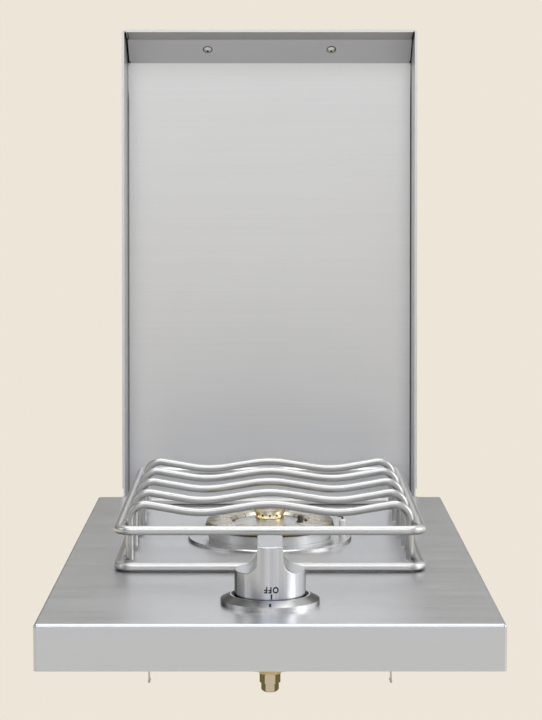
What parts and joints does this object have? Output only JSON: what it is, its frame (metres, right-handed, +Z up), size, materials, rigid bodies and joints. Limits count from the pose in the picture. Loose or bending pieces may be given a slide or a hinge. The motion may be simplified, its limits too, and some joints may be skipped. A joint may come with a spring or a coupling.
{
  "type": "built in side burner",
  "caption": "Drop-in gas side burner with a brushed deck, hinged lid, lift-off rod grate, brass ring burner and a push-and-turn control.",
  "frame": {"origin": "centre of the plane in which the folded rim rests on the worktop", "axes": "+X right, +Y from the control to the lid hinge, +Z up"},
  "size_m": [0.32, 0.6418, 0.4984],
  "materials": {
    "deck_steel": "brushed stainless sheet",
    "plain_steel": "plain",
    "lid_steel": "brushed stainless sheet",
    "grate_steel": "polished stainless rod",
    "bezel_metal": "bright turned metal",
    "knob_metal": "satin turned metal",
    "valve_brass": "forged brass",
    "brass": "machined brass",
    "inlet_metal": "dull nickelled brass",
    "flange_steel": "pressed stainless",
    "cast_aluminium": "cast and turned",
    "disc_aluminium": "spun",
    "ceramic": "glazed ceramic",
    "module_plastic": "moulded",
    "lead_sleeve": "silicone sleeve"
  },
  "bodies": {
    "deck": {"deck_panel": "deck_steel", "hold_down_straps": "plain_steel", "hinge_bracket_right": "plain_steel", "hinge_bracket_left": "plain_steel", "hinge_pins": "plain_steel", "hinge_screws": "plain_steel", "knob_bezel": "bezel_metal", "return_spring": "plain_steel", "valve_bracket": "plain_steel", "valve_body": "valve_brass", "gas_jet": "brass", "inlet_fitting": "inlet_metal", "inlet_nut": "inlet_metal", "control_screws": "plain_steel", "burner_flange": "flange_steel", "burner_bowl": "cast_aluminium", "bowl_screws": "plain_steel", "mixing_tube": "plain_steel", "air_shutter": "plain_steel", "spreader_disc": "disc_aluminium", "igniter_ceramic": "ceramic", "igniter_bracket": "plain_steel", "igniter_tip": "plain_steel", "flame_sensor": "plain_steel", "spark_module": "module_plastic", "igniter_lead": "lead_sleeve", "lead_clips": "plain_steel"},
    "lid": {"lid_shell": "lid_steel", "lid_handle_bar": "plain_steel", "lid_handle_posts": "plain_steel", "lid_handle_screws": "plain_steel"},
    "grate": {"grate_lower_ring": "grate_steel", "grate_upper_ring": "grate_steel", "grate_rod_1": "grate_steel", "grate_rod_2": "grate_steel", "grate_rod_3": "grate_steel", "grate_rod_4": "grate_steel", "grate_rod_5": "grate_steel"},
    "burner_ring": {"flame_ring": "brass"},
    "burner_cap": {"centre_cap": "brass"},
    "control_push": {"thrust_washer": "plain_steel"},
    "control_knob": {"knob": "knob_metal", "knob_bush": "plain_steel", "valve_stem": "plain_steel", "stem_clip": "plain_steel"}
  },
  "joints": [
    {"name": "lid_hinge", "type": "hinge", "parent": "deck", "child": "lid", "pos_m": [0, 0.28075, 0.0274], "axis": [-1, 0, 0], "range_deg": [-94, 0]},
    {"name": "grate_lift", "type": "slide", "parent": "deck", "child": "grate", "axis": [0, 0, 1], "range_m": [0, 0.06]},
    {"name": "burner_ring_lift", "type": "slide", "parent": "deck", "child": "burner_ring", "axis": [0, 0, 1], "range_m": [0, 0.012]},
    {"name": "burner_cap_lift", "type": "slide", "parent": "deck", "child": "burner_cap", "axis": [0, 0, 1], "range_m": [0, 0.01]},
    {"name": "control_push", "type": "slide", "parent": "deck", "child": "control_push", "axis": [0, 0, -1], "range_m": [0, 0.003], "stiffness_N_per_m": 900, "springref_m": -0.004, "deforming": ["return_spring"]},
    {"name": "control_turn", "type": "hinge", "parent": "control_push", "child": "control_knob", "pos_m": [0, -0.20495, 0.0324], "axis": [0, 0, 1], "range_deg": [0, 220]}
  ]
}
